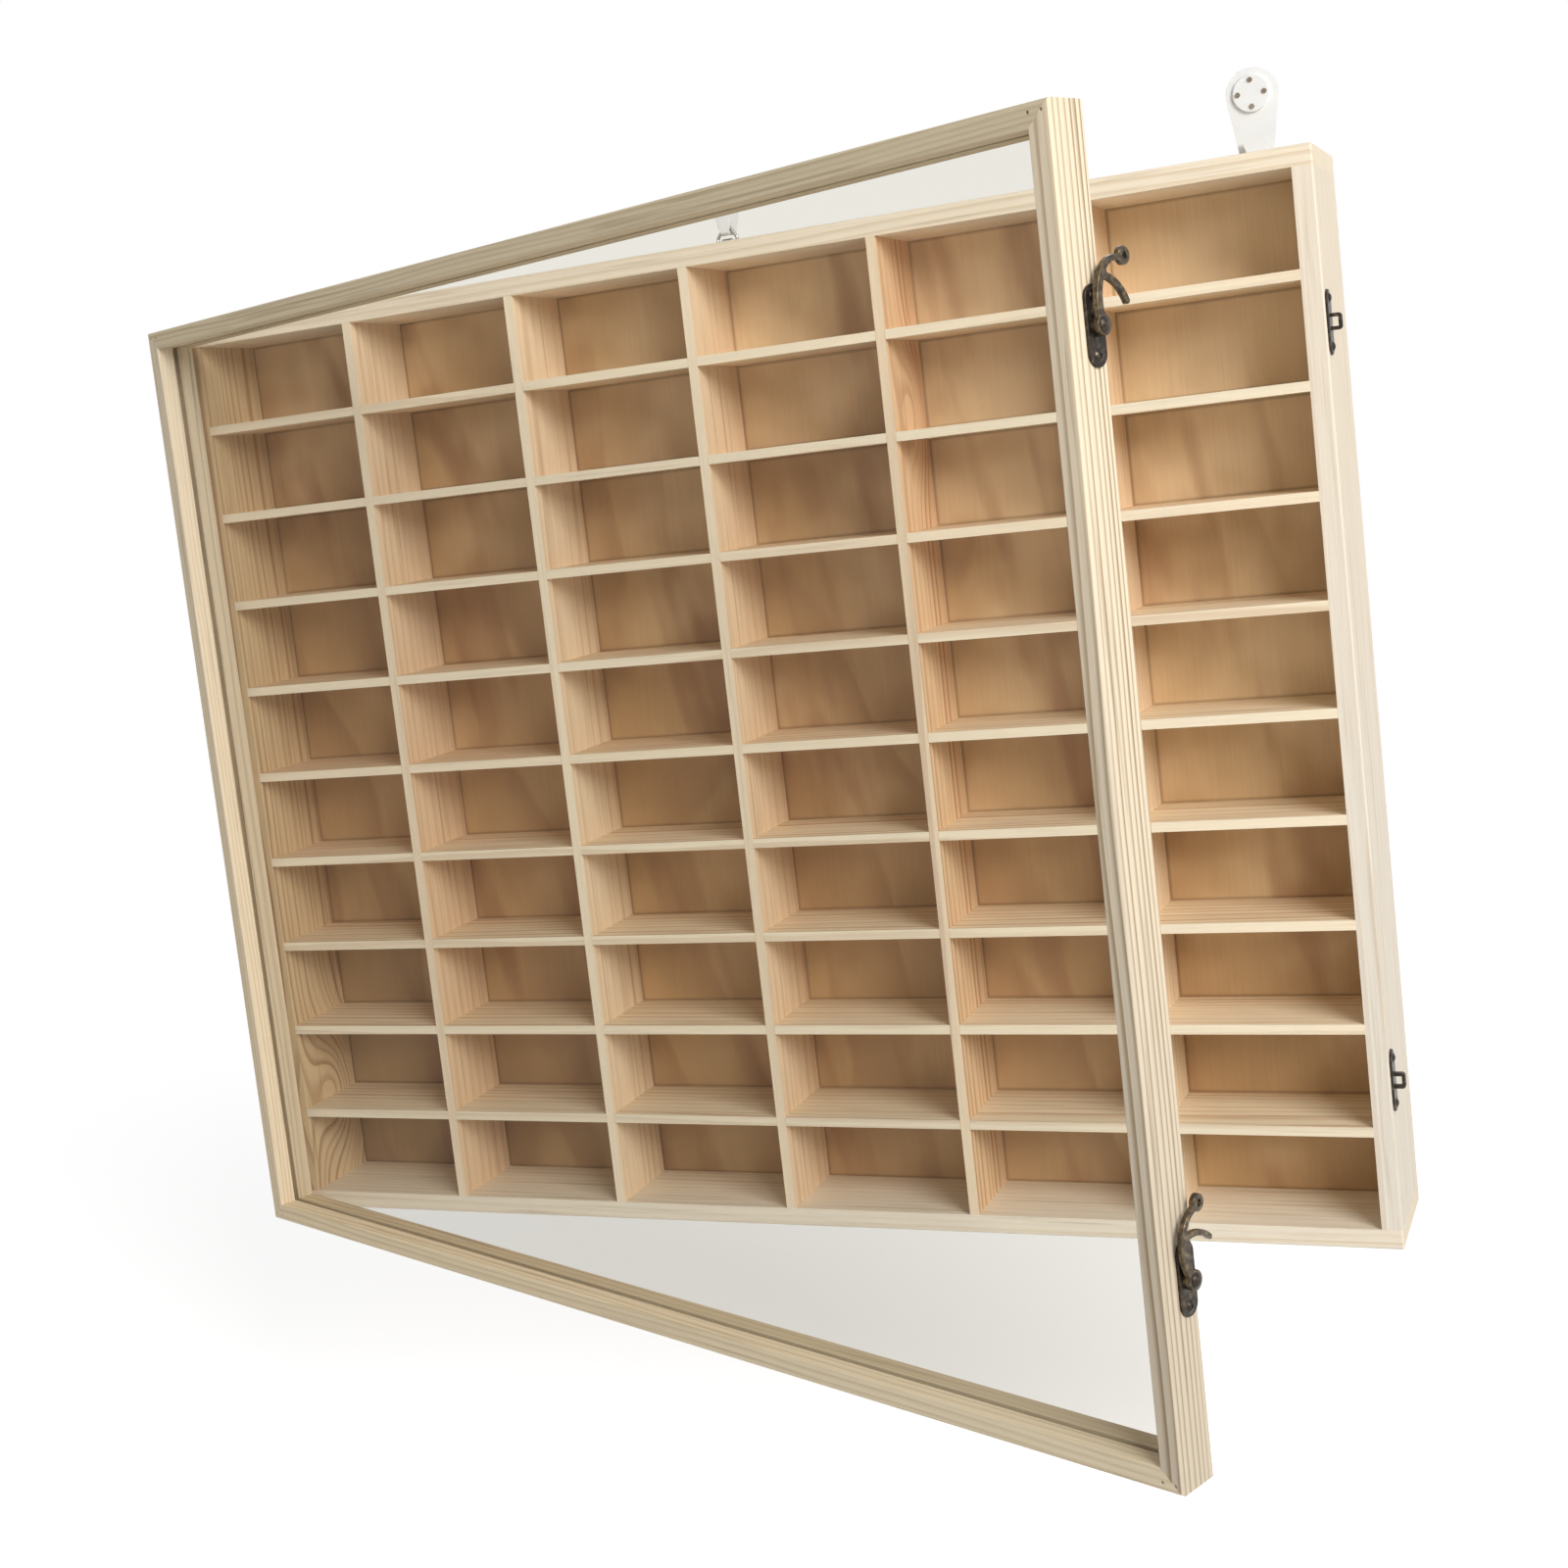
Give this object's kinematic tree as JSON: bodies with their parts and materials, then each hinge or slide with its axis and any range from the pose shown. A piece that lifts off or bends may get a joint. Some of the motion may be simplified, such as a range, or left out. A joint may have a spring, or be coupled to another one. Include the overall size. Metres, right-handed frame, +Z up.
{
  "type": "model car display case",
  "caption": "Wall-hung wooden display case with an open lattice of cells, a hinged door with a clear pane, side hook latches and hanging rings on wall hooks.",
  "frame": {"origin": "Centre of the flat back face of the centre wall hook, on the wall and on the case's middle.", "axes": "+X to the right as seen from the front, +Y into the wall, +Z up. The door stands open as in the picture."},
  "size_m": [0.5366, 0.2783, 0.4716],
  "materials": {
    "pine_case": "bare pale pine, fine sanded",
    "pine_lattice": "bare pale pine, fine sanded",
    "pine_door": "bare pine with a straight close grain",
    "plywood_back": "bare plywood face veneer",
    "clear_acrylic": "clear polished acrylic sheet",
    "antique_bronze": "dark antique bronze with rubbed edges",
    "dark_steel": "darkened steel",
    "bright_steel": "plain steel",
    "white_plastic": "smooth white moulded plastic"
  },
  "bodies": {
    "case": {"case_top_board": "pine_case", "case_bottom_board": "pine_case", "case_left_board": "pine_case", "case_right_board": "pine_case", "back_panel": "plywood_back", "keeper_screws": "antique_bronze", "hinge_screws_case": "antique_bronze", "hanger_screws": "dark_steel", "divider_1": "pine_lattice", "divider_2": "pine_lattice", "divider_3": "pine_lattice", "divider_4": "pine_lattice", "divider_5": "pine_lattice", "shelf_1": "pine_lattice", "shelf_2": "pine_lattice", "shelf_3": "pine_lattice", "shelf_4": "pine_lattice", "shelf_5": "pine_lattice", "shelf_6": "pine_lattice", "shelf_7": "pine_lattice", "shelf_8": "pine_lattice", "shelf_9": "pine_lattice", "hinge_upper_case_leaf": "antique_bronze", "hinge_upper_pin": "antique_bronze", "hinge_lower_case_leaf": "antique_bronze", "hinge_lower_pin": "antique_bronze", "keeper_upper": "antique_bronze", "keeper_lower": "antique_bronze", "hanger_left_strap": "dark_steel", "hanger_centre_strap": "dark_steel", "hanger_right_strap": "dark_steel", "wall_hook_centre": "white_plastic", "wall_hook_right": "white_plastic", "wall_hook_nails": "dark_steel"},
    "door": {"acrylic_pane": "clear_acrylic", "door_corner_brads": "bright_steel", "latch_screws": "antique_bronze", "hinge_screws_door": "antique_bronze", "door_top_rail": "pine_door", "door_bottom_rail": "pine_door", "door_left_stile": "pine_door", "door_right_stile": "pine_door", "hinge_upper_door_leaf": "antique_bronze", "hinge_lower_door_leaf": "antique_bronze", "latch_upper_plate": "antique_bronze", "latch_upper_pin": "antique_bronze", "latch_lower_plate": "antique_bronze", "latch_lower_pin": "antique_bronze"},
    "lever_upper": {"latch_upper_lever": "antique_bronze"},
    "lever_lower": {"latch_lower_lever": "antique_bronze"},
    "ring_left": {"hanger_left_ring": "dark_steel"},
    "ring_centre": {"hanger_centre_ring": "dark_steel"},
    "ring_right": {"hanger_right_ring": "dark_steel"}
  },
  "joints": [
    {"name": "door_hinge", "type": "hinge", "parent": "case", "child": "door", "pos_m": [-0.26425, -0.0572, -0.23939], "axis": [0, 0, -1], "range_deg": [-21.8, 138.2]},
    {"name": "latch_upper_pivot", "type": "hinge", "parent": "door", "child": "lever_upper", "pos_m": [0.22566, -0.2595, -0.09029], "axis": [-0.9285, 0.3714, 0], "range_deg": [-112, 31]},
    {"name": "latch_lower_pivot", "type": "hinge", "parent": "door", "child": "lever_lower", "pos_m": [0.22566, -0.2595, -0.38759], "axis": [-0.9285, 0.3714, 0], "range_deg": [-91, 52]},
    {"name": "ring_left_swing", "type": "hinge", "parent": "case", "child": "ring_left", "pos_m": [-0.2335, -0.0029, -0.02399], "axis": [1, 0, 0], "range_deg": [0, 200]},
    {"name": "ring_centre_swing", "type": "hinge", "parent": "case", "child": "ring_centre", "pos_m": [0, -0.0029, -0.01789], "axis": [1, 0, 0], "range_deg": [-2.5, 2.5]},
    {"name": "ring_right_swing", "type": "hinge", "parent": "case", "child": "ring_right", "pos_m": [0.2335, -0.0029, -0.02399], "axis": [1, 0, 0], "range_deg": [-2.5, 2.5]}
  ]
}
